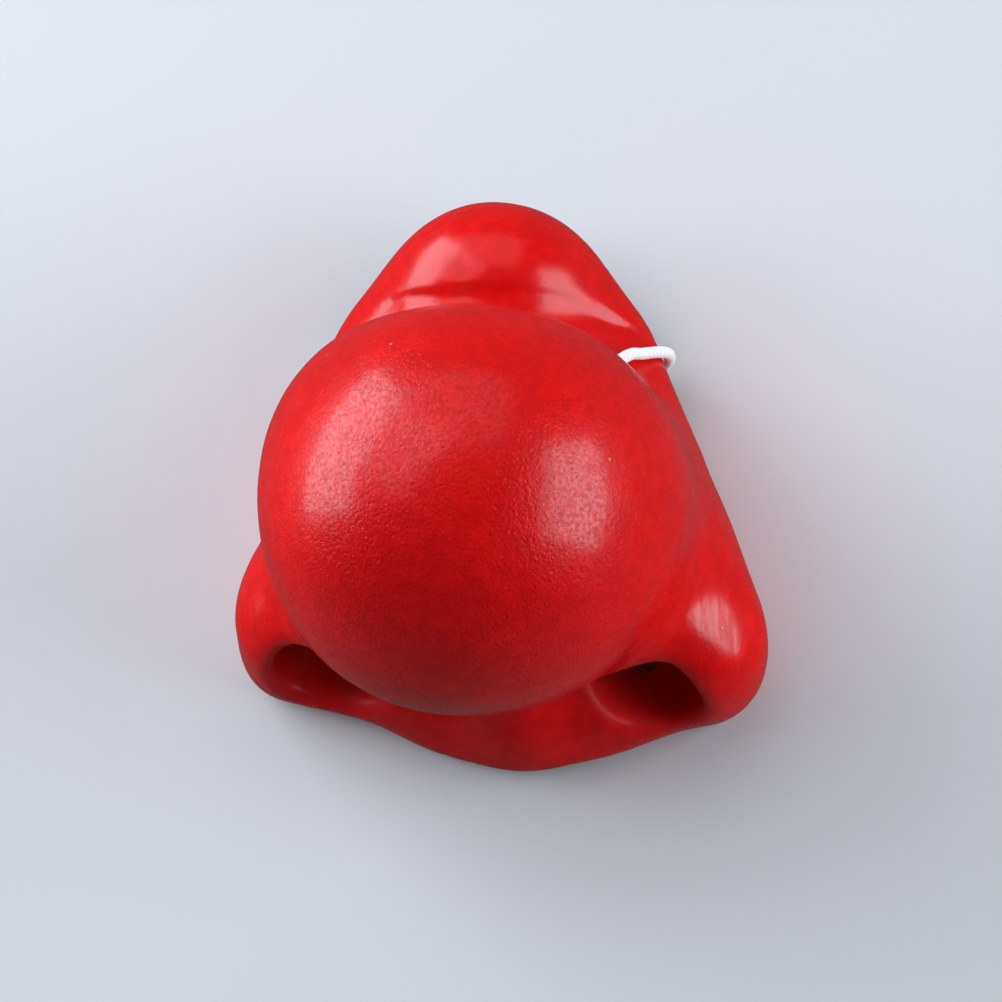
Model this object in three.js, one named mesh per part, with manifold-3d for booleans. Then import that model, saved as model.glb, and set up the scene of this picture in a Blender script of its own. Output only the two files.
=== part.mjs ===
// Clown nose: a hollow shell of moulded rubber with a big ball tip, a bridge, two wings with
// nostrils and a lip panel, and a thin elastic head cord knotted into a hole in each side.
// Millimetres. +Z points away from the face, +Y up to the bridge, +X to the viewer's right.
import * as THREE from 'three';
import { ParametricGeometry } from 'three/addons/geometries/ParametricGeometry.js';
import { mergeVertices } from 'three/addons/utils/BufferGeometryUtils.js';
import Module from 'manifold-3d';

const wasm = await Module();
wasm.setup();

// Sizes of the moulded form, which its soft fillets make about a millimetre wider
const NOSE_WIDTH = 60;
const NOSE_LENGTH = 65;
const NOSE_HEIGHT = 51.5;
const BALL_DIAMETER = 43.3;
const WALL = 2;

// Nostrils: a slanted recess in each wing, with a hole to breathe through in its floor
const NOSTRIL_WIDTH = 13;
const NOSTRIL_LENGTH = 17;
const NOSTRIL_HEIGHT = 12;
const NOSTRIL_TILT = 15;
const BREATHING_HOLE = 3.8;
const BREATHING_SLANT = 0.1;

// Rim: it rests on its two sides, rises to the bridge and arches a little over the lip
const BRIDGE_RISE = 0.32;
const BRIDGE_RISE_START = 3.5;
const BRIDGE_RISE_CORNER = 3.25;
const LIP_ARCH_WIDTH = 27;
const LIP_ARCH_HEIGHT = 2.4;
const LIP_ARCH_MIDDLE = 0.05;
const LIP_ARCH_ENDS = [-1.5, -0.45];

// Elastic head cord
const CORD_DIAMETER = 1.3;
const CORD_CLEARANCE = 0.4;
const KNOT_DIAMETER = 3.6;
const KNOT_THICKNESS = 2.6;
const KNOT_GAP = 0.3;

// Fineness of the faceted walls
const OUTER_GRID = { around: 60, rows: 36 };
const INNER_GRID = { around: 40, rows: 24 };
const NOSTRIL_GRID = { around: 24, rows: 16 };
const KNOT_GRID = { around: 12, rows: 8 };
const CORD_STEPS_PER_POINT = 2;
const CORD_SIDES = 8;
const CORD_HOLE_SIDES = 16;
const BREATHING_HOLE_SIDES = 20;
const ARCH_SIDES = 96;
const MARCH_STEPS = 80;

const halfWidth = NOSE_WIDTH / 2;
const halfLength = NOSE_LENGTH / 2;
const ballRadius = BALL_DIAMETER / 2;

// The bulges that make up the moulded form, joined in this order. Places are shares of the half
// width, half length and height. A rounded one has its half sizes as the same shares, and a limb
// runs to a second place, with its end radii as shares of the half width. The blend is the width
// of the soft fillet to what comes before it, as a share of the half width.
const BULGES = [
  {
    part: 'left shoulder', blend: 0.13,
    at: [-0.235, -0.02, 0.515], size: [0.503, 0.465, 0.272],
  }, {
    part: 'right shoulder', blend: 0.13,
    at: [0.16, -0.05, 0.515], size: [0.487, 0.45, 0.272],
  }, {
    part: 'neck', blend: 0.2,
    at: [-0.017, 0.03, 0.155], size: [0.62, 0.6, 0.272],
  }, {
    part: 'right flank', blend: 0.25,
    at: [0.15, -0.17, 0.44], to: [0.415, 0.06, 0.078], ends: [0.51, 0.31],
  }, {
    part: 'left flank', blend: 0.2,
    at: [-0.093, -0.185, 0.466], to: [-0.43, 0.08, 0.078], ends: [0.587, 0.315],
  }, {
    part: 'right cheek', blend: 0.25,
    at: [0.16, -0.23, 0.42], to: [0.585, -0.265, 0.087], ends: [0.505, 0.29],
  }, {
    part: 'left cheek', blend: 0.2,
    at: [-0.093, -0.246, 0.466], to: [-0.65, -0.29, 0.087], ends: [0.565, 0.308],
  }, {
    part: 'right wing', blend: 0.25,
    at: [0.705, -0.565, 0.155], size: [0.29, 0.26, 0.175],
  }, {
    part: 'left wing', blend: 0.2,
    at: [-0.74, -0.48, 0.155], size: [0.275, 0.25, 0.17],
  }, {
    part: 'left lip', blend: 0.1,
    at: [-0.83, -0.55, 0.055], to: [0.05, -0.725, 0.04], ends: [0.205, 0.233],
  }, {
    part: 'right lip', blend: 0.1,
    at: [0.725, -0.62, 0.05], to: [0.1, -0.725, 0.04], ends: [0.245, 0.252],
  }, {
    part: 'columella', blend: 0.13,
    at: [0.02, -0.431, 0.272], to: [0.04, -0.738, 0.087], ends: [0.267, 0.193],
  }, {
    part: 'middle lip', blend: 0.1,
    at: [0.06, -0.6, 0.03], size: [0.633, 0.382, 0.11],
  }, {
    part: 'bridge base', blend: 0.1,
    at: [-0.055, 0.246, 0.097], size: [0.69, 0.665, 0.214],
  }, {
    part: 'bridge crest', blend: 0.13,
    at: [-0.027, 0.66, 0.155], size: [0.415, 0.34, 0.223],
  },
];

// Where the nostrils sit, as shares of the half width, half length and height, and how far to the
// side of its middle each has its breathing hole, as a share of the nostril's width
const NOSTRILS = [
  { part: 'right nostril', at: [0.575, -0.63, 0.194], breathing: -0.13 },
  { part: 'left nostril', at: [-0.635, -0.61, 0.194], breathing: 0.18 },
];

// The cord's route, chosen point by point: out of the right hole, down the side, under the raised
// rim, twice round the floor of the hollow and up the left side to its own hole.
const CORD_ROUTE = [
  [13.54, 9.74, 17.59], [15.12, 11.75, 16.3], [16.4, 13, 14.45], [17.35, 13.55, 12],
  [18.85, 14.3, 9.15], [19.7, 14.8, 5.6], [19.3, 14.5, 2.65], [17.1, 12.9, 1],
  [14.1, 9.3, 0.75], [12.95, 1.67, 0.75], [15.75, -8.83, 0.75], [14.55, -18.63, 0.75],
  [3.35, -23.23, 0.75], [-10.65, -21.03, 0.75], [-15.85, -11.33, 0.75], [-12.85, 0.67, 0.75],
  [-11.45, 12.67, 0.75], [-4.15, 20.17, 0.75], [5.85, 19.77, 0.8], [11.55, 13.77, 1.8],
  [14.25, 8.77, 2.6], [16.05, 2.97, 1.6], [16.65, -2.43, 0.75], [20.95, -9.43, 0.75],
  [22.75, -17.83, 0.75], [13.85, -24.23, 0.75], [1.35, -26.63, 0.75], [-11.65, -23.83, 0.75],
  [-22.05, -17.43, 0.75], [-20.65, -9.03, 0.75], [-16.45, -1.33, 0.75], [-16.65, 7.17, 0.75],
  [-17.9, 11.6, 0.85], [-20.9, 14.6, 2.2], [-21.8, 14.8, 5.3], [-20.85, 14, 9],
  [-18.6, 13.3, 12], [-16.25, 13.4, 14.8], [-13.92, 12.4, 17], [-12.36, 10.45, 18.26],
];

function scale(shares) {
  return new THREE.Vector3(shares[0] * halfWidth, shares[1] * halfLength, shares[2] * NOSE_HEIGHT);
}

// Signed distance to a rounded bulge, near enough close to its surface
function roundedDistance(point, centre, size) {
  const from = point.clone().sub(centre);
  const near = from.clone().divide(size).length();
  const slope = from.divide(size).divide(size).length();
  return (near * (near - 1)) / Math.max(slope, 1e-9);
}

// Signed distance to a limb: the hull of two balls of different radii
function limbDistance(point, start, end, startRadius, endRadius) {
  const axis = end.clone().sub(start);
  const length = axis.length();
  axis.divideScalar(length);
  const from = point.clone().sub(start);
  const along = from.dot(axis);
  const across = Math.sqrt(Math.max(from.lengthSq() - along * along, 0));
  const lean = (startRadius - endRadius) / length;
  const upright = Math.sqrt(1 - lean * lean);
  const foot = upright * along - lean * across;
  if (foot < 0) return Math.hypot(along, across) - startRadius;
  if (foot > upright * length) return Math.hypot(along - length, across) - endRadius;
  return upright * across + lean * along - startRadius;
}

// Smaller of two distances, with a soft fillet of the given width where they are alike
function softMin(a, b, width) {
  const overlap = Math.max(width - Math.abs(a - b), 0) / width;
  return Math.min(a, b) - (overlap * overlap * width) / 4;
}

const ballCentre = new THREE.Vector3(0, -0.197 * halfLength, NOSE_HEIGHT - ballRadius);
const bulges = BULGES.map((row) => ({
  centre: scale(row.at),
  size: row.size && scale(row.size),
  end: row.to && scale(row.to),
  ends: row.ends && row.ends.map((share) => share * halfWidth),
  blend: row.blend * halfWidth,
}));

// Signed distance to the whole moulded form
function formDistance(point) {
  let distance = point.distanceTo(ballCentre) - ballRadius;
  for (const bulge of bulges) {
    const next = bulge.size
      ? roundedDistance(point, bulge.centre, bulge.size)
      : limbDistance(point, bulge.centre, bulge.end, ...bulge.ends);
    distance = softMin(distance, next, bulge.blend);
  }
  return distance;
}

// A closed wall around a core point inside the form: every ray from the core stops where it
// meets the form from outside, at the given depth under the skin.
const core = scale([0, -0.09, 0.08]);
const SIDE_SHARE = 0.88;
const SIDE_TILT = THREE.MathUtils.degToRad(100);

function reach(direction, depth) {
  let distance = NOSE_LENGTH;
  for (let step = 0; step < MARCH_STEPS; step++) {
    const gap = formDistance(core.clone().addScaledVector(direction, distance)) + depth;
    if (Math.abs(gap) < 1e-4) break;
    distance -= 0.9 * gap;
  }
  return distance;
}

function wallGeometry(depth, grid) {
  const direction = new THREE.Vector3();
  const placeOnWall = (u, v, target) => {
    const turn = -2 * Math.PI * u;
    const tilt = v < SIDE_SHARE
      ? (v / SIDE_SHARE) * SIDE_TILT
      : SIDE_TILT + ((v - SIDE_SHARE) / (1 - SIDE_SHARE)) * (Math.PI - SIDE_TILT);
    direction.set(Math.sin(tilt) * Math.cos(turn), Math.sin(tilt) * Math.sin(turn), Math.cos(tilt));
    target.copy(core).addScaledVector(direction, reach(direction, depth));
  };
  return new ParametricGeometry(placeOnWall, grid.around, grid.rows);
}

// The exact solid of a closed geometry, with its doubled corners joined
function solidOf(geometry) {
  geometry.deleteAttribute('normal');
  geometry.deleteAttribute('uv');
  const joined = mergeVertices(geometry, 1e-4);
  const index = joined.index.array;
  const corners = [];
  for (let i = 0; i < index.length; i += 3) {
    const [a, b, c] = [index[i], index[i + 1], index[i + 2]];
    if (a !== b && b !== c && c !== a) corners.push(a, b, c);
  }
  return new wasm.Manifold(new wasm.Mesh({
    numProp: 3,
    vertProperties: joined.attributes.position.array,
    triVerts: Uint32Array.from(corners),
  }));
}

function geometryOf(solid) {
  const mesh = solid.getMesh();
  const geometry = new THREE.BufferGeometry();
  geometry.setAttribute('position', new THREE.BufferAttribute(mesh.vertProperties, 3));
  geometry.setIndex(new THREE.BufferAttribute(mesh.triVerts, 1));
  geometry.computeVertexNormals();
  return geometry;
}

// A straight round rod between two points
function rod(start, end, radius, sides) {
  const geometry = new THREE.CylinderGeometry(radius, radius, start.distanceTo(end), sides);
  const axis = end.clone().sub(start).normalize();
  geometry.applyQuaternion(new THREE.Quaternion().setFromUnitVectors(new THREE.Vector3(0, 1, 0), axis));
  const middle = start.clone().add(end).multiplyScalar(0.5);
  return geometry.translate(middle.x, middle.y, middle.z);
}

// A nostril's hollow, larger by the given margin
function nostrilHollow(nostril, margin) {
  const hollow = new THREE.SphereGeometry(1, NOSTRIL_GRID.around, NOSTRIL_GRID.rows);
  const size = [NOSTRIL_WIDTH, NOSTRIL_LENGTH, NOSTRIL_HEIGHT].map((full) => full / 2 + margin);
  hollow.scale(...size);
  hollow.rotateX(THREE.MathUtils.degToRad(NOSTRIL_TILT));
  return hollow.translate(...scale(nostril.at).toArray());
}

function breathingHole(nostril) {
  const top = scale(nostril.at);
  top.x += nostril.breathing * NOSTRIL_WIDTH;
  const bottom = top.clone();
  bottom.y += BREATHING_SLANT * NOSTRIL_LENGTH;
  bottom.z -= NOSTRIL_HEIGHT / 2 + 3 * WALL;
  return rod(top, bottom, BREATHING_HOLE / 2, BREATHING_HOLE_SIDES);
}

// What lies under the rim on the sides and below the bridge, as one block across the nose
function blockUnderRim() {
  const far = NOSE_LENGTH;
  const corner = BRIDGE_RISE_CORNER;
  const outline = new THREE.Shape();
  outline.moveTo(-far, -far);
  outline.lineTo(far, -far);
  outline.lineTo(far, (far - BRIDGE_RISE_START) * BRIDGE_RISE);
  outline.lineTo(BRIDGE_RISE_START + corner, corner * BRIDGE_RISE);
  outline.quadraticCurveTo(BRIDGE_RISE_START, 0, BRIDGE_RISE_START - corner, 0);
  outline.lineTo(-far, 0);
  const across = { depth: 2 * far, bevelEnabled: false, curveSegments: 6 };
  const block = new THREE.ExtrudeGeometry(outline, across);
  block.translate(0, 0, -far);
  const turn = new THREE.Matrix4().makeBasis(
    new THREE.Vector3(0, 1, 0),
    new THREE.Vector3(0, 0, 1),
    new THREE.Vector3(1, 0, 0),
  );
  return block.applyMatrix4(turn);
}

// The shallow arch over the upper lip
function lipArch() {
  const radius = (LIP_ARCH_WIDTH ** 2 / 4 + LIP_ARCH_HEIGHT ** 2) / (2 * LIP_ARCH_HEIGHT);
  const level = LIP_ARCH_HEIGHT - radius;
  const [start, end] = LIP_ARCH_ENDS.map((place) => scale([LIP_ARCH_MIDDLE, place, 0]).setZ(level));
  return rod(start, end, radius, ARCH_SIDES);
}

// A curve through the route's points with its steps evenly shared between them
class RouteCurve extends THREE.CatmullRomCurve3 {
  getUtoTmapping(u) {
    return u;
  }
}

const route = CORD_ROUTE.map((point) => new THREE.Vector3(...point));

function cordTube() {
  const section = new THREE.Shape();
  for (let side = 0; side < CORD_SIDES; side++) {
    const turn = (2 * Math.PI * side) / CORD_SIDES;
    const [x, y] = [(CORD_DIAMETER / 2) * Math.cos(turn), (CORD_DIAMETER / 2) * Math.sin(turn)];
    if (side === 0) section.moveTo(x, y);
    else section.lineTo(x, y);
  }
  const steps = CORD_STEPS_PER_POINT * (route.length - 1);
  const extrudePath = new RouteCurve(route);
  return new THREE.ExtrudeGeometry(section, { steps, extrudePath, bevelEnabled: false });
}

// The two ends of the cord: the hole's inner and outer mouth along the cord
const cordEnds = [
  { name: 'cord_knot_right', inside: route[0], outside: route[1] },
  { name: 'cord_knot_left', inside: route[route.length - 1], outside: route[route.length - 2] },
];

function cordHole(end) {
  const axis = end.outside.clone().sub(end.inside).normalize();
  const start = end.inside.clone().addScaledVector(axis, -2 * WALL);
  const stop = end.outside.clone().addScaledVector(axis, CORD_DIAMETER);
  return rod(start, stop, CORD_DIAMETER / 2 + CORD_CLEARANCE, CORD_HOLE_SIDES);
}

// Moulded shell: the skin, less the hollow inside it, the nostrils and everything under the rim
let shell = solidOf(wallGeometry(0, OUTER_GRID));
let inside = solidOf(wallGeometry(WALL, INNER_GRID));
for (const nostril of NOSTRILS) {
  shell = shell.subtract(solidOf(nostrilHollow(nostril, 0)));
  inside = inside.subtract(solidOf(nostrilHollow(nostril, WALL)));
}
shell = shell.subtract(inside);
for (const nostril of NOSTRILS) shell = shell.subtract(solidOf(breathingHole(nostril)));
shell = shell.subtract(solidOf(blockUnderRim())).subtract(solidOf(lipArch()));

// The shell stands with the middle of its footprint at the origin
const box = shell.boundingBox();
const shift = new THREE.Vector3(-(box.min[0] + box.max[0]) / 2, -(box.min[1] + box.max[1]) / 2, -box.min[2]);
shell = shell.translate(shift.toArray());
for (const end of cordEnds) shell = shell.subtract(solidOf(cordHole(end)));

// Direction straight out of the skin at a point on it
function skinNormal(point) {
  const at = point.clone().sub(shift);
  const here = formDistance(at);
  const step = 0.01;
  return new THREE.Vector3(
    formDistance(at.clone().setX(at.x + step)) - here,
    formDistance(at.clone().setY(at.y + step)) - here,
    formDistance(at.clone().setZ(at.z + step)) - here,
  ).normalize();
}

// The knot that keeps the cord from pulling out, lying flat against the inside of the wall
function knotLump(end) {
  const inward = end.inside.clone().sub(end.outside).normalize();
  const depth = WALL + KNOT_GAP + KNOT_THICKNESS / 2;
  const centre = end.outside.clone();
  for (let step = 0; step < MARCH_STEPS; step++) {
    centre.addScaledVector(inward, formDistance(centre.clone().sub(shift)) + depth);
  }
  const normal = skinNormal(centre);
  const lump = new THREE.SphereGeometry(1, KNOT_GRID.around, KNOT_GRID.rows);
  lump.scale(KNOT_DIAMETER / 2, KNOT_THICKNESS / 2, KNOT_DIAMETER / 2);
  lump.applyQuaternion(new THREE.Quaternion().setFromUnitVectors(new THREE.Vector3(0, 1, 0), normal));
  return lump.translate(centre.x, centre.y, centre.z);
}

const redRubber = new THREE.MeshStandardMaterial({ color: 0xc4120f, roughness: 0.42, metalness: 0 });
const whiteElastic = new THREE.MeshStandardMaterial({ color: 0xe9e6e0, roughness: 0.85, metalness: 0 });

function named(name, geometry, material) {
  const mesh = new THREE.Mesh(geometry, material);
  mesh.name = name;
  return mesh;
}

const clownNose = new THREE.Group();
clownNose.add(named('nose_shell', geometryOf(shell), redRubber));
clownNose.add(named('elastic_cord', cordTube(), whiteElastic));
for (const end of cordEnds) clownNose.add(named(end.name, knotLump(end), whiteElastic.clone()));

export default clownNose;
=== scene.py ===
# %% [markdown]
# # A clown nose
#
# A clown pulls this nose on over the real one. It is a hollow shell of moulded rubber: a big ball
# for a tip, a bridge behind it, a wing on each side with a nostril under it, and a lip panel
# below. A thin elastic cord goes into a small hole in each side and ends there in a knot.
#
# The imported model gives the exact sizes. Here the same pieces get their real surfaces: smooth
# skin with soft edges, a braided cord, tied knots, and rubber that looks hand finished.

import math

import bpy
import numpy as np
from mathutils import Matrix, Vector, noise


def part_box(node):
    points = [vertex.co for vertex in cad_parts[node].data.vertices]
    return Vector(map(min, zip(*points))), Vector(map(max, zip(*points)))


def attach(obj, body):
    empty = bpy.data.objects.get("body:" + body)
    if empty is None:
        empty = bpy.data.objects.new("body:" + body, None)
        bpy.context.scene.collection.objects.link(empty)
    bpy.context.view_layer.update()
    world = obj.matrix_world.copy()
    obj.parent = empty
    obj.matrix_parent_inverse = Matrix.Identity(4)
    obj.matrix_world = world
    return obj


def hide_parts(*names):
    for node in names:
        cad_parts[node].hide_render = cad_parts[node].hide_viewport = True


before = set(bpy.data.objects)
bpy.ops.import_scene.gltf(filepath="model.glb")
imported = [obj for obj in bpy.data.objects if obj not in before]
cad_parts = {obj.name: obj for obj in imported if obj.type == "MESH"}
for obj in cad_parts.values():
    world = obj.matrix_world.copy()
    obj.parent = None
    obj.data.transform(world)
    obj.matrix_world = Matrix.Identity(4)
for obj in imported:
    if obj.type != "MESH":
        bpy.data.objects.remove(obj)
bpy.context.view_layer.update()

# %% [markdown]
# ## The camera
#
# The photograph looks almost straight down on a nose that lies on its rim. The lens is long and
# the camera leans a little to the right and towards the lip. The camera is placed by a point that
# it looks at, a direction and a distance, which is easier to read than angles.

# %% Camera
MM = 0.001
AIM = Vector((1.83, -3.27, 15.0)) * MM
TOWARDS_CAMERA = Vector((0.163, -0.17, 1.0)).normalized()
CAMERA_DISTANCE = 330 * MM
LENS = 106.7

camera_data = bpy.data.cameras.new("camera")
camera_data.lens = LENS
camera_data.sensor_width = 36
camera_data.clip_start = 0.01
camera = bpy.data.objects.new("camera", camera_data)
bpy.context.scene.collection.objects.link(camera)
bpy.context.scene.camera = camera

view_right = Vector((0, 1, 0)).cross(TOWARDS_CAMERA).normalized()
view_up = TOWARDS_CAMERA.cross(view_right)
turn = Matrix((view_right, view_up, TOWARDS_CAMERA)).transposed().to_4x4()
eye = AIM + TOWARDS_CAMERA * CAMERA_DISTANCE
camera.matrix_world = Matrix.Translation(eye) @ turn
print("camera at", [round(1000 * v, 1) for v in eye], "mm")

# %% [markdown]
# ## The elastic cord
#
# Party noses are held on by about 0.3 m of thin covered elastic, knotted at both ends inside the
# nose. It is as long as that when nothing pulls it. With the nose lying on its rim, it comes out
# of the right hole, goes down the side and under the raised bridge, lies in two loose turns on
# the table inside the hollow, and climbs the left side to its own hole.
#
# A curve object would do for a plain cord, but a mesh tube can carry the ridges of its braid. So
# the route is a smooth curve through the same points as the solid one, and a tube follows it.

# %% Smooth line through chosen points
def smooth_line(points, steps):
    """A centripetal Catmull-Rom line through the points, with so many steps between each two."""
    points = np.asarray(points, float)
    before = 2 * points[0] - points[1]
    after = 2 * points[-1] - points[-2]
    padded = np.vstack([before, points, after])
    share = np.linspace(0, 1, steps, endpoint=False)[:, None]
    made = []
    for p0, p1, p2, p3 in zip(padded, padded[1:], padded[2:], padded[3:]):
        d0, d1, d2 = (math.sqrt(np.linalg.norm(b - a)) for a, b in ((p0, p1), (p1, p2), (p2, p3)))
        leave = ((p1 - p0) / d0 - (p2 - p0) / (d0 + d1) + (p2 - p1) / d1) * d1
        arrive = ((p2 - p1) / d1 - (p3 - p1) / (d1 + d2) + (p3 - p2) / d2) * d1
        made.append(
            (2 * share**3 - 3 * share**2 + 1) * p1
            + (share**3 - 2 * share**2 + share) * leave
            + (3 * share**2 - 2 * share**3) * p2
            + (share**3 - share**2) * arrive
        )
    return np.vstack([*made, points[-1:]])


def evenly(line, step):
    """The same line with its points about one step apart, and how far along each one is."""
    far = np.concatenate([[0], np.cumsum(np.linalg.norm(np.diff(line, axis=0), axis=1))])
    along = np.linspace(0, far[-1], max(2, round(far[-1] / step)))
    return np.stack([np.interp(along, far, line[:, k]) for k in range(3)], -1), along


# %% Route of the cord, in millimetres
CORD_DIAMETER = 1.3
CORD_STEP = 0.12
CORD_ROUTE = [
    (13.54, 9.74, 17.59), (15.12, 11.75, 16.3), (16.4, 13, 14.45), (17.35, 13.55, 12),
    (18.85, 14.3, 9.15), (19.7, 14.8, 5.6), (19.3, 14.5, 2.65), (17.1, 12.9, 1),
    (14.1, 9.3, 0.75), (12.95, 1.67, 0.75), (15.75, -8.83, 0.75), (14.55, -18.63, 0.75),
    (3.35, -23.23, 0.75), (-10.65, -21.03, 0.75), (-15.85, -11.33, 0.75), (-12.85, 0.67, 0.75),
    (-11.45, 12.67, 0.75), (-4.15, 20.17, 0.75), (5.85, 19.77, 0.8), (11.55, 13.77, 1.8),
    (14.25, 8.77, 2.6), (16.05, 2.97, 1.6), (16.65, -2.43, 0.75), (20.95, -9.43, 0.75),
    (22.75, -17.83, 0.75), (13.85, -24.23, 0.75), (1.35, -26.63, 0.75), (-11.65, -23.83, 0.75),
    (-22.05, -17.43, 0.75), (-20.65, -9.03, 0.75), (-16.45, -1.33, 0.75), (-16.65, 7.17, 0.75),
    (-17.9, 11.6, 0.85), (-20.9, 14.6, 2.2), (-21.8, 14.8, 5.3), (-20.85, 14, 9),
    (-18.6, 13.3, 12), (-16.25, 13.4, 14.8), (-13.92, 12.4, 17), (-12.36, 10.45, 18.26),
]
cord_line, cord_along = evenly(smooth_line(CORD_ROUTE, 24), CORD_STEP)
print("cord:", len(CORD_ROUTE), "points,", round(cord_along[-1], 1), "mm long")

# %% [markdown]
# ### The braid
#
# The cord's cover is braided: yarns run round it both ways and pass over and under each other.
# The tube's radius rises over each yarn, so that the ridges are real. The two sets of yarns are
# cosines of the angle round the cord plus or minus the way along it, and where one set is on top
# the other is hidden.

# %% Braided tube
YARNS = 8
YARN_PITCH = 3.4
YARN_RELIEF = 0.055
CORD_SIDES = 20


def braided_tube(line, along, radius, sides, ends=(0.0, 0.0)):
    """Corners, faces and ridges of a braided tube. Ends are how far each end rounds off."""
    count = len(line)
    ahead = np.gradient(line, axis=0)
    ahead /= np.linalg.norm(ahead, axis=1)[:, None]
    side = np.zeros_like(ahead)
    side[0] = np.cross(ahead[0], (0.31, 0.17, 0.93))
    for i in range(1, count):
        side[i] = side[i - 1] - ahead[i] * (side[i - 1] @ ahead[i])
        side[i] /= np.linalg.norm(side[i])
    side[0] /= np.linalg.norm(side[0])
    other = np.cross(ahead, side)
    round_it = np.linspace(0, 2 * math.pi, sides, endpoint=False)[None, :]
    twist = 2 * math.pi * along[:, None] / YARN_PITCH
    one = YARNS * (round_it + twist) / 2
    two = YARNS * (round_it - twist) / 2
    on_top = 0.5 + 0.5 * np.sin(one) * np.sin(two)
    ridge = on_top * np.abs(np.cos(one)) + (1 - on_top) * np.abs(np.cos(two))
    size = radius * (1 - YARN_RELIEF + 2 * YARN_RELIEF * ridge)
    for reach, from_end in ((ends[0], along - along[0]), (ends[1], along[-1] - along)):
        if reach:
            near = np.clip(from_end / reach, 0, 1)
            size = size * np.sqrt(np.clip(1 - (1 - near) ** 2, 0.02, 1))[:, None]
    rings = line[:, None] + size[..., None] * (
        np.cos(round_it)[..., None] * side[:, None] + np.sin(round_it)[..., None] * other[:, None]
    )
    start = (np.arange(count - 1) * sides)[:, None]
    here = np.arange(sides)[None, :]
    after = (here + 1) % sides
    walls = np.stack([start + here, start + after, start + sides + after, start + sides + here], -1)
    faces = walls.reshape(-1, 4).tolist()
    faces.append(list(range(sides - 1, -1, -1)))
    faces.append(list(range((count - 1) * sides, count * sides)))
    return rings.reshape(-1, 3), faces, ridge.ravel()


print(YARNS, "yarns, once round in", YARN_PITCH, "mm")


# %% Cord piece
def piece_of(name, corners, faces, marks=None):
    """A smooth mesh object from corners in millimetres, with named numbers kept at its corners."""
    mesh = bpy.data.meshes.new(name)
    mesh.from_pydata((np.asarray(corners) * MM).tolist(), [], faces)
    mesh.shade_smooth()
    for mark, values in (marks or {}).items():
        kept = mesh.attributes.new(mark, "FLOAT", "POINT")
        kept.data.foreach_set("value", np.asarray(values, np.float32))
    made = bpy.data.objects.new(name, mesh)
    bpy.context.scene.collection.objects.link(made)
    print(name, "has", len(mesh.vertices), "corners and", len(mesh.polygons), "faces")
    return made


cord_corners, cord_faces, cord_ridge = braided_tube(
    cord_line, cord_along, CORD_DIAMETER / 2, CORD_SIDES
)
cord = piece_of("braided_cord", cord_corners, cord_faces, {"ridge": cord_ridge})

# %% [markdown]
# ### The knots
#
# Each end of the cord is tied in an overhand knot on the inside of the wall, too big to slip
# through its hole. The knot is drawn as its own line: up from the hole, over and round itself,
# and out through the loop, with a short free end. Elastic gets thinner when it is pulled tight,
# so the knot's strand is thinner than the cord.

# %% Overhand knots
KNOT_STRAND = 0.5
KNOT_STEP = 0.07
KNOT_SIDES = 18
KNOT_TIP = 0.3
KNOT_SHAPE = [
    (0.0, 0.0, -2.3), (0.0, 0.05, -1.5), (-0.35, 0.45, -0.55), (-0.55, 0.6, 0.4),
    (-0.1, 0.35, 1.2), (0.85, -0.1, 1.25), (1.45, -0.45, 0.4), (1.1, -0.75, -0.55),
    (0.1, -0.75, -1.05), (-1.0, -0.35, -0.85), (-1.45, 0.35, -0.2), (-1.0, 1.35, 0.35),
    (0.1, 1.2, 0.35), (0.5, 0.35, 0.1), (0.25, -0.6, 0.2), (0.1, -1.5, 0.6), (0.0, -2.6, 1.0),
]


def tied_knot(name, node, end):
    """An overhand knot where the CAD knot is, on the line that comes in from the cord's end."""
    low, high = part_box(node)
    centre = np.array((low + high) / 2) / MM
    inward = centre - np.array(end)
    inward /= np.linalg.norm(inward)
    across = np.cross(inward, (0, 0, 1))
    across /= np.linalg.norm(across)
    over = np.cross(inward, across)
    shape = np.array(KNOT_SHAPE)
    placed = centre + shape[:, :1] * across + shape[:, 1:2] * over + shape[:, 2:] * inward
    line, along = evenly(smooth_line(placed, 16), KNOT_STEP)
    corners, faces, ridge = braided_tube(line, along, KNOT_STRAND, KNOT_SIDES, ends=(0, KNOT_TIP))
    knot = piece_of(name, corners, faces, {"ridge": ridge})
    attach(knot, "root")
    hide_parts(node)
    return knot


right_knot = tied_knot("right_overhand_knot", "cord_knot_right", CORD_ROUTE[0])
left_knot = tied_knot("left_overhand_knot", "cord_knot_left", CORD_ROUTE[-1])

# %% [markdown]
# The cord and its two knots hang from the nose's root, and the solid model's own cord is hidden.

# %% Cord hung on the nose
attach(cord, "root")
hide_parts("elastic_cord")

# %% [markdown]
# ## The moulded shell
#
# The nose was modelled in clay, and every rubber copy of it has the soft fillets of clay where
# one bulge runs into the next. Distances make such forms well: each bulge says how far away its
# surface is, and the smaller of two distances, softened where they are alike, joins them with a
# fillet. The bulges are the same as those of the solid model, in shares of its half width, half
# length and height.

# %% Sizes and bulges
HALF_WIDTH, HALF_LENGTH, HEIGHT = 30.0, 32.5, 51.5
BALL_RADIUS = 21.65
WALL = 2.0
BALL_CENTRE = np.array([0.0, -0.197 * HALF_LENGTH, HEIGHT - BALL_RADIUS])
FORM_SHIFT = np.array([0.73, 0.03, 0.0])

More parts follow.
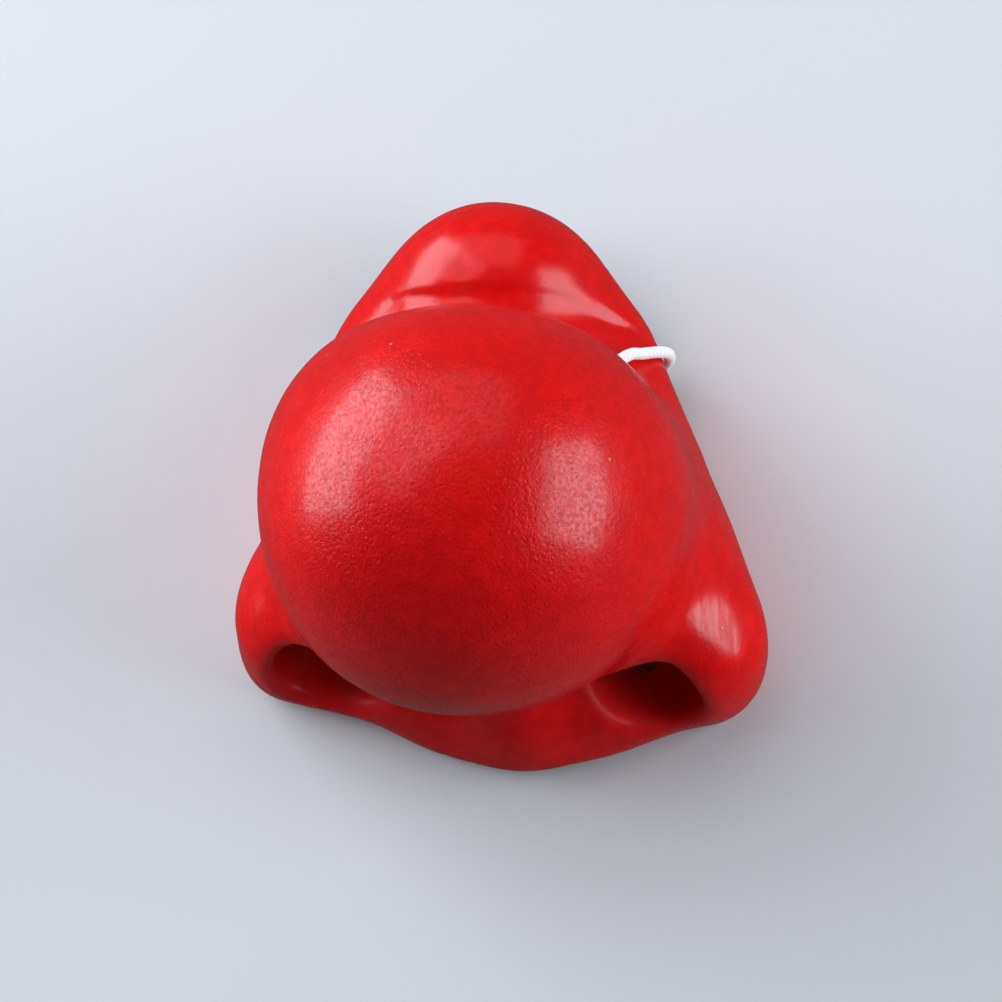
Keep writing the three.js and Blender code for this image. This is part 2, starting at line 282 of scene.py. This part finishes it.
# name, place, half sizes, fillet
ROUNDED = {
    "left shoulder": ((-0.235, -0.02, 0.515), (0.503, 0.465, 0.272), 0.13),
    "right shoulder": ((0.16, -0.05, 0.515), (0.487, 0.45, 0.272), 0.13),
    "neck": ((-0.017, 0.03, 0.155), (0.62, 0.6, 0.272), 0.2),
    "right wing": ((0.705, -0.565, 0.155), (0.29, 0.26, 0.175), 0.25),
    "left wing": ((-0.74, -0.48, 0.155), (0.275, 0.25, 0.17), 0.2),
    "middle lip": ((0.06, -0.6, 0.03), (0.633, 0.382, 0.11), 0.1),
    "bridge base": ((-0.055, 0.246, 0.097), (0.69, 0.665, 0.214), 0.1),
    "bridge crest": ((-0.027, 0.66, 0.155), (0.415, 0.34, 0.223), 0.13),
}

# name, start, end, radius at the start and at the end, fillet
LIMBS = {
    "right flank": ((0.15, -0.17, 0.44), (0.415, 0.06, 0.078), (0.51, 0.31), 0.25),
    "left flank": ((-0.093, -0.185, 0.466), (-0.43, 0.08, 0.078), (0.587, 0.315), 0.2),
    "right cheek": ((0.16, -0.23, 0.42), (0.585, -0.265, 0.087), (0.505, 0.29), 0.25),
    "left cheek": ((-0.093, -0.246, 0.466), (-0.65, -0.29, 0.087), (0.565, 0.308), 0.2),
    "left lip": ((-0.83, -0.55, 0.055), (0.05, -0.725, 0.04), (0.205, 0.233), 0.1),
    "right lip": ((0.725, -0.62, 0.05), (0.1, -0.725, 0.04), (0.245, 0.252), 0.1),
    "columella": ((0.02, -0.431, 0.272), (0.04, -0.738, 0.087), (0.267, 0.193), 0.13),
}
JOIN_ORDER = [
    "left shoulder", "right shoulder", "neck", "right flank", "left flank", "right cheek",
    "left cheek", "right wing", "left wing", "left lip", "right lip", "columella",
    "middle lip", "bridge base", "bridge crest",
]
SHARES = np.array([HALF_WIDTH, HALF_LENGTH, HEIGHT])
print(len(JOIN_ORDER), "bulges and a ball")

# %% Distances
def rounded(points, centre, size):
    """Distance to a rounded bulge."""
    from_centre = (points - centre) / size
    near = np.linalg.norm(from_centre, axis=-1)
    slope = np.linalg.norm(from_centre / size, axis=-1)
    return near * (near - 1) / np.maximum(slope, 1e-9)


def limb(points, start, end, start_radius, end_radius):
    """Distance to a limb, the hull of two balls."""
    axis = end - start
    length = np.linalg.norm(axis)
    axis = axis / length
    from_start = points - start
    along = from_start @ axis
    across = np.sqrt(np.maximum((from_start**2).sum(-1) - along**2, 0))
    lean = (start_radius - end_radius) / length
    upright = math.sqrt(1 - lean * lean)
    foot = upright * along - lean * across
    wall = upright * across + lean * along - start_radius
    first = np.hypot(along, across) - start_radius
    last = np.hypot(along - length, across) - end_radius
    return np.where(foot < 0, first, np.where(foot > upright * length, last, wall))


print("a ball's own surface is at", rounded(np.array([3.0, 0, 0]), np.zeros(3), np.full(3, 3.0)), "mm")


# %% Fillets, and the whole form
def soft_min(a, b, width):
    """The smaller of two distances, with a fillet where they are alike."""
    overlap = np.maximum(width - np.abs(a - b), 0) / width
    return np.minimum(a, b) - overlap**2 * width / 4


def soft_max(a, b, width):
    """The larger of two distances, with a rounded edge where they are alike."""
    return -soft_min(-a, -b, width)


def form(points):
    """Distance to the whole moulded form, with no hollow or hole in it yet."""
    distance = np.linalg.norm(points - BALL_CENTRE, axis=-1) - BALL_RADIUS
    for name in JOIN_ORDER:
        if name in ROUNDED:
            place, size, fillet = ROUNDED[name]
            bulge = rounded(points, SHARES * place, SHARES * size)
        else:
            start, end, radii, fillet = LIMBS[name]
            bulge = limb(points, SHARES * start, SHARES * end, *(r * HALF_WIDTH for r in radii))
        distance = soft_min(distance, bulge, fillet * HALF_WIDTH)
    return distance


print("ball top is at", round(float(BALL_CENTRE[2] + BALL_RADIUS), 2), "mm")

# %% [markdown]
# ### Hollow, nostrils, holes and rim
#
# The rubber is 2 mm thick. Each nostril is a slanted recess under its wing with a breathing hole
# in its floor, and it keeps the same 2 mm around it. The rim is trimmed with scissors: flat on
# both sides, rising to the bridge, with a shallow arch over the upper lip. All edges are rounded
# a little, as rubber edges are.

# %% Nostrils
NOSTRIL_SIZE = np.array([13.0, 17.0, 12.0]) / 2
NOSTRIL_TILT = math.radians(15)
NOSTRIL_EDGE = 2.6
NOSTRILS = {"right": ((0.575, -0.63, 0.194), -0.13), "left": ((-0.635, -0.61, 0.194), 0.18)}


def nostril(points, place):
    """Distance to the hollow of one nostril."""
    x, y, z = np.moveaxis(points - SHARES * place, -1, 0)
    c, s = math.cos(NOSTRIL_TILT), math.sin(NOSTRIL_TILT)
    turned = np.stack([x, c * y + s * z, c * z - s * y], -1)
    return rounded(turned, np.zeros(3), NOSTRIL_SIZE)


def nostrils(points):
    right, left = (nostril(points, place) for place, _ in NOSTRILS.values())
    return np.minimum(right, left)


print("a nostril is", list(2 * NOSTRIL_SIZE), "mm")

# %% Holes
BREATHING_HOLE = 3.8
BREATHING_HOLE_LEAN = 0.2
CORD_HOLE = CORD_DIAMETER + 0.8


def rod(points, start, end, radius):
    """Distance to a round rod between two points."""
    start, end = np.asarray(start, float), np.asarray(end, float)
    axis = (end - start) / np.linalg.norm(end - start)
    middle = (start + end) / 2
    along = (points - middle) @ axis
    across = np.sqrt(np.maximum(((points - middle) ** 2).sum(-1) - along**2, 0))
    return np.maximum(across - radius, np.abs(along) - np.linalg.norm(end - start) / 2)


def holes(points):
    """Distance to the nearest of the breathing holes and the cord's holes."""
    nearest = np.full(points.shape[:-1], 1e3)
    for place, aside in NOSTRILS.values():
        top = SHARES * place + (aside * 2 * NOSTRIL_SIZE[0], 0, 0)
        bottom = top + (0, BREATHING_HOLE_LEAN * NOSTRIL_SIZE[1], -NOSTRIL_SIZE[2] - 3 * WALL)
        nearest = np.minimum(nearest, rod(points, top, bottom, BREATHING_HOLE / 2))
    for inside, outside in ((CORD_ROUTE[0], CORD_ROUTE[1]), (CORD_ROUTE[-1], CORD_ROUTE[-2])):
        inside, outside = np.array(inside) - FORM_SHIFT, np.array(outside) - FORM_SHIFT
        axis = (outside - inside) / np.linalg.norm(outside - inside)
        ends = (inside - 2 * WALL * axis, outside + CORD_DIAMETER * axis)
        nearest = np.minimum(nearest, rod(points, *ends, CORD_HOLE / 2))
    return nearest


print("two holes of", BREATHING_HOLE, "mm and two of", round(CORD_HOLE, 2), "mm")

# %% Rim
BRIDGE_RISE, BRIDGE_RISE_START = 0.32, 3.5
LIP_ARCH_WIDTH, LIP_ARCH_HEIGHT = 27.0, 2.4
LIP_ARCH_MIDDLE = 0.05 * HALF_WIDTH
LIP_ARCH_BACK = -0.45 * HALF_LENGTH
BRIDGE_RISE_EDGE = 2 * HALF_LENGTH * 0.02
LIP_ARCH_EDGE = 0.6


def rim(points):
    """How far a point lies under the trimmed rim."""
    y, z = points[..., 1], points[..., 2]
    rise = BRIDGE_RISE * (y - BRIDGE_RISE_START)
    side = soft_max(np.zeros_like(y), rise, BRIDGE_RISE_EDGE)
    radius = (LIP_ARCH_WIDTH**2 / 4 + LIP_ARCH_HEIGHT**2) / (2 * LIP_ARCH_HEIGHT)
    aside = points[..., 0] - LIP_ARCH_MIDDLE
    arch = radius - np.hypot(aside, z - (LIP_ARCH_HEIGHT - radius))
    arch = np.minimum(arch, LIP_ARCH_BACK - y)
    return soft_max(side - z, arch, LIP_ARCH_EDGE)


print("the arch over the lip is", LIP_ARCH_HEIGHT, "mm high")

# %% Hollow, and the whole shell
EDGE = 0.8


def hollow(points, skin):
    """Distance to the hollow inside the shell, less than nothing within it."""
    return soft_max(skin + WALL, WALL - nostrils(points), EDGE)


def shell(points):
    """Distance to the finished shell."""
    skin = form(points)
    rubber = soft_max(skin, -nostrils(points), NOSTRIL_EDGE)
    rubber = soft_max(rubber, -hollow(points, skin), EDGE)
    rubber = soft_max(rubber, -holes(points), EDGE / 2)
    return soft_max(rubber, rim(points), EDGE)


middle = np.array([BALL_CENTRE])
print("the middle of the ball is", round(float(shell(middle)[0]), 1), "mm from rubber")

# %% [markdown]
# ### From distances to a mesh
#
# Marching cubes would leave slivers. A surface net puts one point in each small box that the
# surface passes through and joins them in squares, so the faces come out even. Then each point
# slides towards the middle of its neighbours and goes back onto the surface, a few times over.

# %% Sampling
PITCH = 0.5


def sample(low, high, pitch):
    """The shell's distance at every point of an even grid."""
    counts = np.ceil((high - low) / pitch).astype(int) + 1
    x, y, z = (low[k] + pitch * np.arange(counts[k]) for k in range(3))
    made = np.empty(counts, np.float32)
    layer = np.stack(np.meshgrid(x[:1], y, z, indexing="ij"), -1)[0]
    for i, across in enumerate(x):
        layer[..., 0] = across
        made[i] = shell(layer)
    return made


margin = 3 * PITCH
net_low = np.array([-HALF_WIDTH - 2, -HALF_LENGTH - 2, 0]) - margin
net_high = np.array([HALF_WIDTH + 2, HALF_LENGTH + 2, HEIGHT]) + margin
sampled = sample(net_low, net_high, PITCH)
print("sampled at", sampled.shape, "points")


# %% Surface net
def surface_net(values, low, pitch):
    """Points and squares where the sampled distance passes through zero."""
    inside = values < 0
    mixed = np.zeros(tuple(n - 1 for n in inside.shape), np.int8)
    ends = (slice(0, -1), slice(1, None))
    for a in ends:
        for b in ends:
            for c in ends:
                mixed += inside[a, b, c]
    mixed = (mixed > 0) & (mixed < 8)
    number = np.full(mixed.shape, -1)
    number[mixed] = np.arange(mixed.sum())
    cells = np.argwhere(mixed)
    total, found = np.zeros(cells.shape), np.zeros(len(cells))
    unit = np.eye(3, dtype=int)
    for axis in range(3):
        one, two = unit[(axis + 1) % 3], unit[(axis + 2) % 3]
        for offset in (0 * one, one, two, one + two):
            start = cells + offset
            stop = start + unit[axis]
            here, there = values[tuple(start.T)], values[tuple(stop.T)]
            crosses = (here < 0) != (there < 0)
            share = here[crosses] / (here[crosses] - there[crosses])
            total[crosses] += start[crosses] + share[:, None] * unit[axis]
            found[crosses] += 1
    points = low + pitch * total / found[:, None]
    squares = []
    for axis in range(3):
        one, two = unit[(axis + 1) % 3], unit[(axis + 2) % 3]
        changes = inside ^ np.roll(inside, -1, axis)
        edge = np.argwhere(changes)
        corner = [number[tuple((edge - o).T)] for o in (one + two, two, 0 * one, one)]
        square = np.stack(corner, -1)
        outward = inside[tuple(edge.T)]
        squares.append(np.where(outward[:, None], square, square[:, ::-1]))
    return points, np.vstack(squares)


skin_points, skin_squares = surface_net(sampled, net_low, PITCH)
print("net:", len(skin_points), "points and", len(skin_squares), "squares")

# %% Settling
SETTLE_ROUNDS = 4
SETTLE_SHARE = 0.6


def settle(points, squares, rounds):
    """Even out the points and put each one exactly on the shell's surface."""
    pairs = np.vstack([squares[:, [k, (k + 1) % 4]] for k in range(4)])
    pairs = np.vstack([pairs, pairs[:, ::-1]])
    count = np.bincount(pairs[:, 0], minlength=len(points))
    step = 0.02
    for _ in range(rounds):
        beside = [np.bincount(pairs[:, 0], points[pairs[:, 1], k]) for k in range(3)]
        points = points + SETTLE_SHARE * (np.stack(beside, -1) / count[:, None] - points)
        for _ in range(2):
            here = shell(points)
            slope = np.stack([shell(points + step * e) - here for e in np.eye(3)], -1) / step
            move = here[:, None] * slope / np.maximum((slope**2).sum(-1), 0.2)[:, None]
            points = points - np.clip(move, -PITCH / 2, PITCH / 2)
    return points


skin_points = settle(skin_points, skin_squares, SETTLE_ROUNDS)
print("off the surface by up to", round(float(np.abs(shell(skin_points)).max()), 3), "mm")

# %% [markdown]
# ### Marks for the finish and the painted shade
#
# The ball was stippled with a brush and the wings were wiped, the inside of the hollow was never
# polished, and the rim gets painted shade, a darker red. Each corner of the mesh keeps how much it
# belongs to each of these places, so the material can follow the form wherever the nose goes.

# %% Marks at the corners
def fade(value, start, stop):
    """0 up to start and 1 from stop, with a soft change between."""
    share = np.clip((value - start) / (stop - start), 0, 1)
    return share * share * (3 - 2 * share)


skin_depth = -form(skin_points)
to_hollow = np.abs(hollow(skin_points, -skin_depth))
to_nostril = np.abs(nostrils(skin_points))
to_ball = np.abs(np.linalg.norm(skin_points - BALL_CENTRE, axis=-1) - BALL_RADIUS)
marks = {
    "inner": fade(to_hollow, 0.7, 0.15) * fade(skin_depth, 0.8, 1.6),
    "nostril": fade(to_nostril, 2.5, 1.0) * fade(skin_depth, 0.0, 0.3),
    "ball": fade(to_ball, 1.6, 0.2) * fade(skin_depth, 1.0, 0.3),
    "wing": fade(np.abs(skin_points[:, 0]), 15, 19) * fade(skin_points[:, 1], 0, -6),
    # edge: where the rim gets painted shade, a darker red where the shell meets the floor
    "edge": fade(-rim(skin_points), 1.6, 0.0),
}
for name, values in marks.items():
    print(name, "covers", round(100 * float(values.mean())), "% of the corners")

# %% [markdown]
# A copy pulled from a worn mould is never perfectly smooth: the skin waves by a few hundredths
# of a millimetre, which is what breaks up the edges of its highlights.

# %% Waves
WAVES = ((0.07, 9.0), (0.03, 3.5))

wave = np.zeros(len(skin_points))
for amount, length in WAVES:
    wave += [amount * noise.noise(Vector(p) / length) for p in skin_points]
wave *= 1 - marks["inner"]
print("waves of up to", round(float(np.abs(wave).max()), 3), "mm")

# %% [markdown]
# The bridge swells a little above a crease that runs across its foot, some way from the ball. The
# crease is followed on the photograph, and a line of sight from the camera through each
# chosen pixel meets the skin where it lies. On the ball's side of it the skin is sunk, and the
# step is soft.

# %% Crease
PHOTO_PIXELS = 1002
CREASE_SEEN_AT = [
    (366, 313), (400, 293), (430, 290), (465, 288), (500, 288), (530, 289), (560, 292),
    (590, 304), (620, 320), (655, 345),
]
CREASE_DEPTH = 0.45
CREASE_WIDTH = 0.9
CREASE_FADE = 6.0
SIGHT_START = 250.0
SIGHT_STEPS = 60
SIGHT_SHARE = 0.7


def on_skin(pixels):
    """Where lines of sight through pixels of the photograph meet the skin, in millimetres."""
    zoom = LENS / camera_data.sensor_width * PHOTO_PIXELS
    aside = (np.array(pixels) - PHOTO_PIXELS / 2) / zoom
    sight = aside[:, :1] * np.array(view_right) - aside[:, 1:] * np.array(view_up)
    sight -= np.array(TOWARDS_CAMERA)
    sight /= np.linalg.norm(sight, axis=1)[:, None]
    points = np.array(eye) / MM + SIGHT_START * sight
    for _ in range(SIGHT_STEPS):
        points = points + SIGHT_SHARE * form(points - FORM_SHIFT)[:, None] * sight
    return points


crease, crease_along = evenly(smooth_line(on_skin(CREASE_SEEN_AT), 8), 0.4)
to_end = np.minimum(crease_along, crease_along[-1] - crease_along)
strength = fade(to_end, 0, CREASE_FADE)
bridge = np.flatnonzero(skin_points[:, 1] > 0.35 * HALF_LENGTH)
away = skin_points[bridge, None] + FORM_SHIFT - crease[None]
distance = np.linalg.norm(away, axis=-1)
nearest = distance.argmin(1)
beyond = np.copysign(distance.min(1), away[np.arange(len(bridge)), nearest, 1])
sunk = fade(beyond, CREASE_WIDTH, -CREASE_WIDTH) * fade(beyond, -CREASE_FADE, -CREASE_WIDTH)
wave[bridge] -= CREASE_DEPTH * sunk * strength[nearest]
print("the crease is", round(crease_along[-1], 1), "mm long")

# %% Shell piece
step = 0.05
here = shell(skin_points)
skin_normal = np.stack([shell(skin_points + step * e) - here for e in np.eye(3)], -1)
skin_normal /= np.linalg.norm(skin_normal, axis=1)[:, None]
placed = skin_points + wave[:, None] * skin_normal + FORM_SHIFT
nose = piece_of("moulded_shell", placed, skin_squares.tolist(), marks)
low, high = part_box("nose_shell")
print("off the CAD box by", np.round(placed.min(0) - np.array(low) / MM, 2), "mm low and",
      np.round(placed.max(0) - np.array(high) / MM, 2), "mm high")
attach(nose, "root")
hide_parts("nose_shell")

# %% [markdown]
# ## Materials written as sums
#
# A material is a set of nodes, and arithmetic on them is easier to read as a sum than as boxes
# and wires. A Wire is the output of a node. Adding, taking away or multiplying wires adds the
# node that does it. Every other node comes from one method, node.

# %% Wires
class Wire:
    """The output of a node, which can be used in a sum."""

    def __init__(self, paint, socket):
        self.paint = paint
        self.socket = socket

    def _with(self, operation, first, second):
        return self.paint.node("ShaderNodeMath", {"operation": operation}, {0: first, 1: second})

    def __add__(self, other):
        return self._with("ADD", self, other)

    def __radd__(self, other):
        return self._with("ADD", other, self)

    def __sub__(self, other):
        return self._with("SUBTRACT", self, other)

    def __rsub__(self, other):
        return self._with("SUBTRACT", other, self)

    def __mul__(self, other):
        return self._with("MULTIPLY", self, other)

    def __rmul__(self, other):
        return self._with("MULTIPLY", other, self)


print("a wire can be added to, taken from and multiplied")


# %% Paint
class Paint:
    """A material and the methods that add nodes to it."""

    def __init__(self, name):
        self.material = bpy.data.materials.new(name)
        self.material.use_nodes = True
        self.tree = self.material.node_tree
        self.shader = self.tree.nodes["Principled BSDF"]

    def node(self, kind, settings=None, sockets=None, output=0):
        """One node: its settings first, then a value or a wire for each named socket."""
        made = self.tree.nodes.new(kind)
        for name, value in (settings or {}).items():
            if name == "stops":
                for _ in range(len(value) - len(made.color_ramp.elements)):
                    made.color_ramp.elements.new(0.5)
                for stop, (place, colour) in zip(made.color_ramp.elements, value):
                    stop.position = place
                    stop.color = (*colour, 1)
            else:
                setattr(made, name, value)
        for name, value in (sockets or {}).items():
            self.plug(made.inputs[name], value)
        return Wire(self, made.outputs[output])

    def plug(self, socket, value):
        """Link a wire to a socket, or set the socket's own value."""
        if isinstance(value, Wire):
            self.tree.links.new(value.socket, socket)
        elif isinstance(value, tuple) and len(value) == 3 and socket.type == "RGBA":
            socket.default_value = (*value, 1)
        else:
            socket.default_value = value

    def set(self, **sockets):
        """Give the shader its values and wires. Underscores stand for spaces."""
        for name, value in sockets.items():
            self.plug(self.shader.inputs[name.replace("_", " ")], value)

    def mark(self, name):
        """A number that was kept at the corners of the mesh."""
        return self.node("ShaderNodeAttribute", {"attribute_name": name}, output="Fac")

    def place(self):
        """Where a point is, in millimetres."""
        where = self.node("ShaderNodeTexCoord", output="Object")
        return self.node("ShaderNodeVectorMath", {"operation": "SCALE"}, {0: where, "Scale": 1 / MM})

    def noise(self, place, grain, detail=2.0, rough=0.5):
        """Cloudy noise from 0 to 1 with spots about one grain across, in millimetres."""
        values = {"Vector": place, "Scale": 1 / grain, "Detail": detail, "Roughness": rough}
        return self.node("ShaderNodeTexNoise", {}, values)

    def cells(self, place, grain):
        """Distance to scattered points that lie about one grain apart, as a share of it."""
        return self.node("ShaderNodeTexVoronoi", {}, {"Vector": place, "Scale": 1 / grain})

    def between(self, value, start, stop):
        """0 below start and 1 above stop, with a soft change between them."""
        return self.node(
            "ShaderNodeMapRange",
            {"interpolation_type": "SMOOTHSTEP"},
            {"Value": value, "From Min": start, "From Max": stop},
        )

    def mix(self, share, first, second):
        """The first colour where the share is 0 and the second where it is 1."""
        sockets = {0: share, 6: first, 7: second}
        return self.node("ShaderNodeMix", {"data_type": "RGBA"}, sockets, output=2)

    def bump(self, height):
        """A bumpy surface from a height in millimetres."""
        return self.node("ShaderNodeBump", {}, {"Height": height, "Distance": MM, "Strength": 1.0})


print("paint is ready")

# %% [markdown]
# ## Red rubber
#
# The colour of the rubber itself is an even, deep red with a satin gloss. What makes it real is
# small: the ball's stippled skin with pits about half a millimetre apart, fine slanting wipe
# marks on the wings, clouds of lighter and darker red, a few pale specks of dust, and a dull,
# powdered inside. The gloss is uneven too, because the thin varnish on it lies in the ball's pits
# and in the wipe marks, and is worn off between them. That is a coat of changing weight.

# %% Red rubber
rubber = Paint("red_rubber")
here = rubber.place()
ball, wing = rubber.mark("ball"), rubber.mark("wing")
inner, nostril_mark, edge = rubber.mark("inner"), rubber.mark("nostril"), rubber.mark("edge")

clouds = rubber.noise(here, 11.0, 3.0)
mottle = rubber.noise(here, 1.6, 4.0, 0.6)
pits = rubber.cells(here, 0.5)
grain = rubber.noise(here, 0.45, 3.0, 0.6)
wiped = rubber.node(
    "ShaderNodeMapping",
    {},
    {"Vector": here, "Rotation": (0, 0, 0.7), "Scale": (1, 0.16, 0.5)},
)
streaks = rubber.noise(wiped, 0.7, 3.0, 0.6)
flecks = rubber.between(rubber.noise(here, 0.4, 3.0, 0.6), 0.36, 0.64) - 0.5
varnish = 0.34 + ball * flecks * 0.44 + wing * (rubber.between(streaks, 0.36, 0.64) - 0.5) * 0.4
dust = 1 - rubber.between(rubber.cells(here, 8.3), 0.01, 0.026)

RED = (0.57, 0.003, 0.003)
# DEEP_RED is used for the darker clouds and for the painted shade along the rim.
DEEP_RED = (0.4, 0.002, 0.002)
BRIGHT_RED = (0.66, 0.004, 0.004)
DUSTY_RED = (0.4, 0.03, 0.03)
SPECK = (0.62, 0.2, 0.17)

colour = rubber.mix(rubber.between(clouds, 0.35, 0.68), RED, BRIGHT_RED)
colour = rubber.mix(rubber.between(mottle, 0.62, 0.4) * 0.35, colour, DEEP_RED)
# Painted shade: darker red along the rim, where the shell meets the floor.
colour = rubber.mix(edge * 0.5, colour, DEEP_RED)
colour = rubber.mix(inner * 0.7, colour, DUSTY_RED)
colour = rubber.mix(dust * (1 - inner), colour, SPECK)

relief = (0.3 + 0.7 * ball) * (rubber.between(pits, 0.05, 0.5) * 0.03 + grain * 0.11)
relief = relief + wing * streaks * 0.05 + mottle * 0.03 + dust * 0.05

rubber.set(
    Base_Color=colour,
    Roughness=0.14 + 0.2 * grain + 0.35 * inner + 0.45 * nostril_mark,
    Normal=rubber.bump(relief),
    Specular_IOR_Level=0.12,
    Coat_Weight=varnish * (1 - inner) * (1 - 0.8 * nostril_mark),
    Coat_Roughness=0.2,
)
nose.data.materials.append(rubber.material)
print("rubber has", len(rubber.tree.nodes), "nodes")

# %% [markdown]
# ## White elastic
#
# The braid is off-white polyester over a rubber core. The valleys between its yarns get painted
# shade, a darker grey, and handling has greyed it in places.

# %% White elastic
elastic = Paint("white_elastic")
here = elastic.place()
ridge = elastic.mark("ridge")
fibres = elastic.noise(here, 0.12, 2.0)
handled = elastic.noise(here, 9.0, 2.0)

WHITE = (0.86, 0.86, 0.84)
PAINTED_VALLEY_SHADE = (0.42, 0.41, 0.4)
HANDLED = (0.74, 0.72, 0.68)

colour = elastic.mix(elastic.between(handled, 0.45, 0.75), WHITE, HANDLED)
# Painted shade: the valleys between the yarns are coloured a darker grey.
colour = elastic.mix(elastic.between(ridge, 0.75, 0.3), colour, PAINTED_VALLEY_SHADE)
elastic.set(
    Base_Color=colour,
    Roughness=0.75 + 0.2 * fibres,
    Normal=elastic.bump(fibres * 0.03),
    Sheen_Weight=0.3,
)
for piece in (cord, right_knot, left_knot):
    piece.data.materials.append(elastic.material)
print("elastic has", len(elastic.tree.nodes), "nodes")

# %% [markdown]
# ## Studio
#
# The photograph has a broad soft light low on each side and a pale table. The nose shows both
# lights as soft patches on the ball and the wings. A weaker one above on the left and one behind
# light the bridge. Nothing of the table shows in the rubber, so the floor here isn't mirrored.

# %% Floor
FLOOR_COLOUR = (0.6, 0.61, 0.64)

floor_mesh = bpy.data.meshes.new("floor")
floor_mesh.from_pydata([(-3, -3, 0), (3, -3, 0), (3, 3, 0), (-3, 3, 0)], [], [(0, 1, 2, 3)])
floor = bpy.data.objects.new("floor", floor_mesh)
bpy.context.scene.collection.objects.link(floor)
table_top = Paint("table_top")
table_top.set(Base_Color=FLOOR_COLOUR, Roughness=0.7)
floor.data.materials.append(table_top.material)
floor.visible_glossy = False
print("floor is", floor.dimensions[0], "m wide")

# %% Lights
def softbox(name, towards, distance, size, watts):
    """A square soft light that looks at the nose from the given direction."""
    data = bpy.data.lights.new(name, "AREA")
    data.shape = "RECTANGLE"
    data.size, data.size_y = size
    data.energy = watts
    data.color = (0.9, 0.95, 1.0)
    lamp = bpy.data.objects.new(name, data)
    way = Vector(towards).normalized()
    lamp.location = Vector((0, 0, 0.025)) + way * distance
    lamp.rotation_mode = "QUATERNION"
    lamp.rotation_quaternion = way.to_track_quat("Z", "Y")
    bpy.context.scene.collection.objects.link(lamp)
    print(name, "stands at", [round(v, 2) for v in lamp.location], "m")
    return lamp


softbox("left_softbox", (-0.88, 0.46, 0.33), 0.6, (0.7, 0.4), 6.0)
softbox("upper_left_softbox", (-0.6, 0.5, 1.1), 0.7, (0.5, 0.5), 1.4)
softbox("right_softbox", (0.99, 0.03, 0.33), 0.6, (0.52, 0.4), 4.3)
softbox("back_softbox", (0.0, 0.9, 0.8), 1.2, (1.2, 1.0), 4.0)

world = bpy.data.worlds.new("studio")
bpy.context.scene.world = world
world.use_nodes = True
sky = world.node_tree.nodes["Background"]
sky.inputs["Color"].default_value = (0.86, 0.89, 0.95, 1)
sky.inputs["Strength"].default_value = 0.1
bpy.context.scene.view_settings.view_transform = "Standard"
